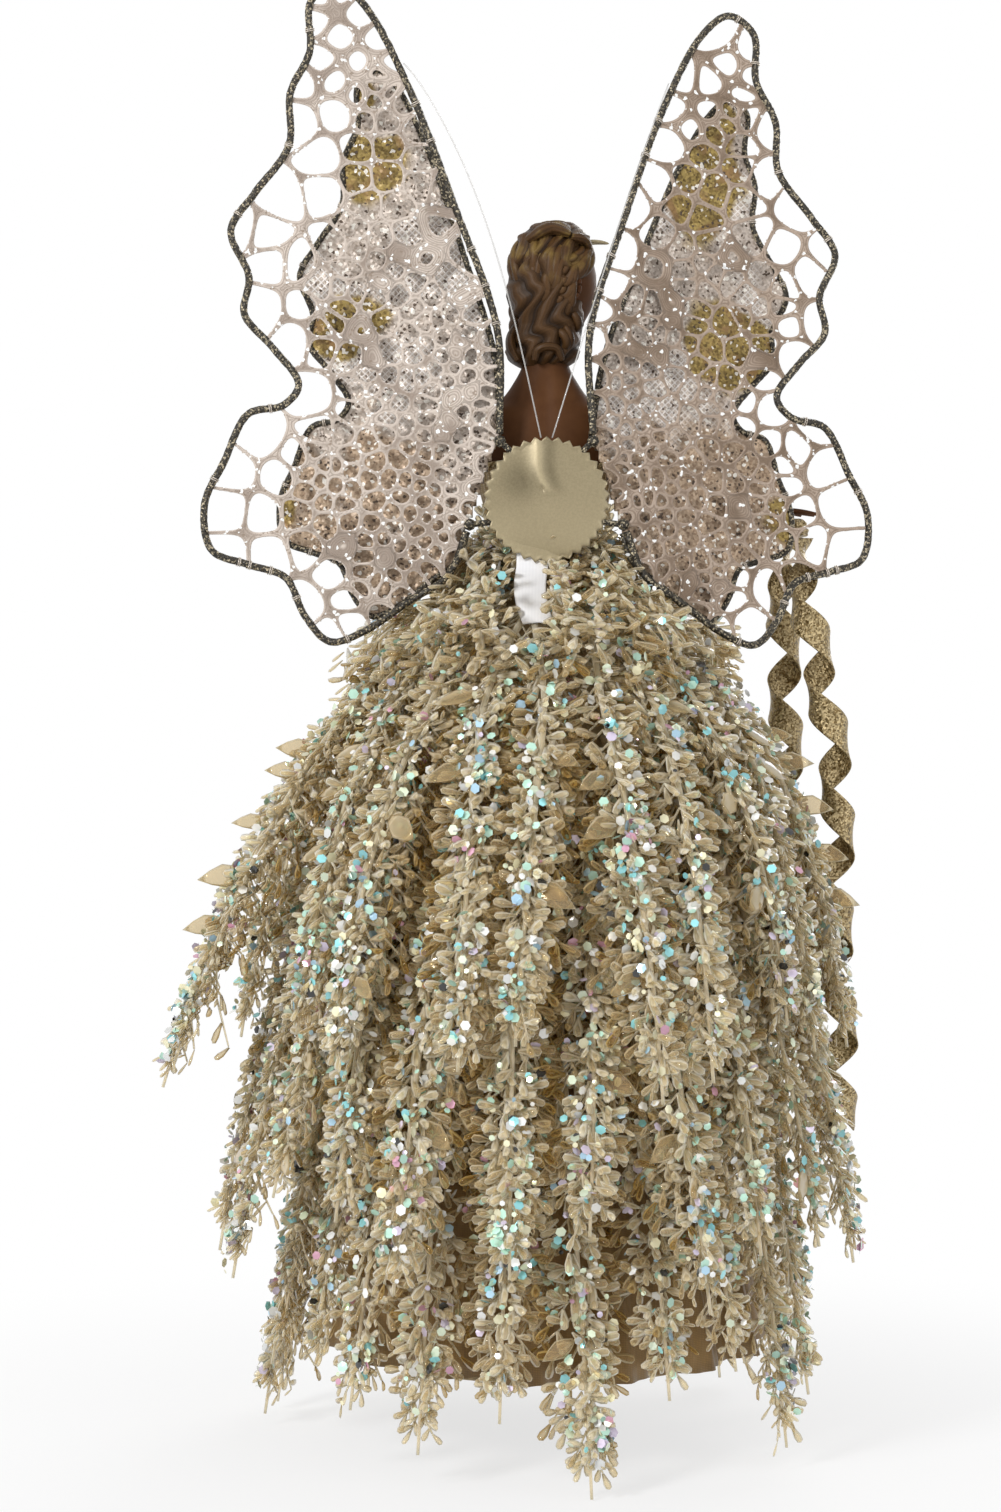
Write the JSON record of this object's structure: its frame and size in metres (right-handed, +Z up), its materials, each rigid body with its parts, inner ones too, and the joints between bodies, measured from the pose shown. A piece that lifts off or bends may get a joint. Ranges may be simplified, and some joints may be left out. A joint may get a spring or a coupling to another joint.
{
  "type": "angel tree topper",
  "caption": "Angel tree topper: hollow cone for the tree tip, tiers of clear plastic sprays, cast figure with curled ribbons, and double lace wings on bendable wire.",
  "frame": {"origin": "centre of the mouth of the tree cone, where the tip of the tree goes in", "axes": "+Z up along the cone and the figure; the figure faces -Y, its left hand is on +X; the picture looks along -Y at its back"},
  "size_m": [0.2255, 0.209, 0.4582],
  "materials": {
    "card": "matt",
    "underskirt_cloth": "woven, slight sheen",
    "spray": "clear champagne, iridescent",
    "skin": "painted cast resin",
    "hair": "painted cast resin, gold-dusted",
    "pin": "painted gold",
    "bodice_cloth": "glitter cloth",
    "felt": "felted",
    "satin": "satin",
    "wire": "dark glitter wrap",
    "lace": "thread lace",
    "panel": "gold glitter cloth",
    "ribbon": "gold glitter",
    "thread": "clear monofilament"
  },
  "bodies": {
    "figure": {"tree_cone": "card", "underskirt": "underskirt_cloth", "bust": "skin", "hair": "hair", "hair_pin": "pin", "bodice": "bodice_cloth", "left_arm": "skin", "right_arm": "skin", "wing_pad": "card", "wing_yoke": "wire", "back_patch": "felt", "blank_tag": "satin", "ribbon_knot": "ribbon", "ribbon_outer": "ribbon", "ribbon_inner": "ribbon", "wing_tie_left": "thread", "wing_tie_right": "thread", "spray_outer_01": "spray", "spray_outer_02": "spray", "spray_outer_03": "spray", "spray_outer_04": "spray", "spray_outer_05": "spray", "spray_outer_06": "spray", "spray_outer_07": "spray", "spray_outer_08": "spray", "spray_outer_09": "spray", "spray_outer_10": "spray", "spray_outer_11": "spray", "spray_middle_01": "spray", "spray_middle_02": "spray", "spray_middle_03": "spray", "spray_middle_04": "spray", "spray_middle_05": "spray", "spray_middle_06": "spray", "spray_middle_07": "spray", "spray_middle_08": "spray", "spray_middle_09": "spray", "spray_middle_10": "spray", "spray_middle_11": "spray", "spray_hem_01": "spray", "spray_hem_02": "spray", "spray_hem_03": "spray", "spray_hem_04": "spray", "spray_hem_05": "spray", "spray_hem_06": "spray", "spray_hem_07": "spray", "spray_hem_08": "spray", "spray_hem_09": "spray", "spray_hem_10": "spray", "spray_hem_11": "spray"},
    "left_wing": {"rear_wing_frame_left": "wire", "rear_wing_lace_left": "lace", "front_wing_frame_left": "wire", "front_wing_panel_left": "panel"},
    "right_wing": {"rear_wing_frame_right": "wire", "rear_wing_lace_right": "lace", "front_wing_frame_right": "wire", "front_wing_panel_right": "panel"}
  },
  "joints": [
    {"name": "left_wing_swing", "type": "hinge", "parent": "figure", "child": "left_wing", "pos_m": [0.01898, 0.02, 0.27751], "axis": [-0.342, 0, 0.9397], "range_deg": [-22, 45], "deforming": ["wing_tie_left"]},
    {"name": "right_wing_swing", "type": "hinge", "parent": "figure", "child": "right_wing", "pos_m": [-0.01898, 0.02, 0.27751], "axis": [-0.342, 0, -0.9397], "range_deg": [0, 67], "deforming": ["wing_tie_right"]}
  ]
}
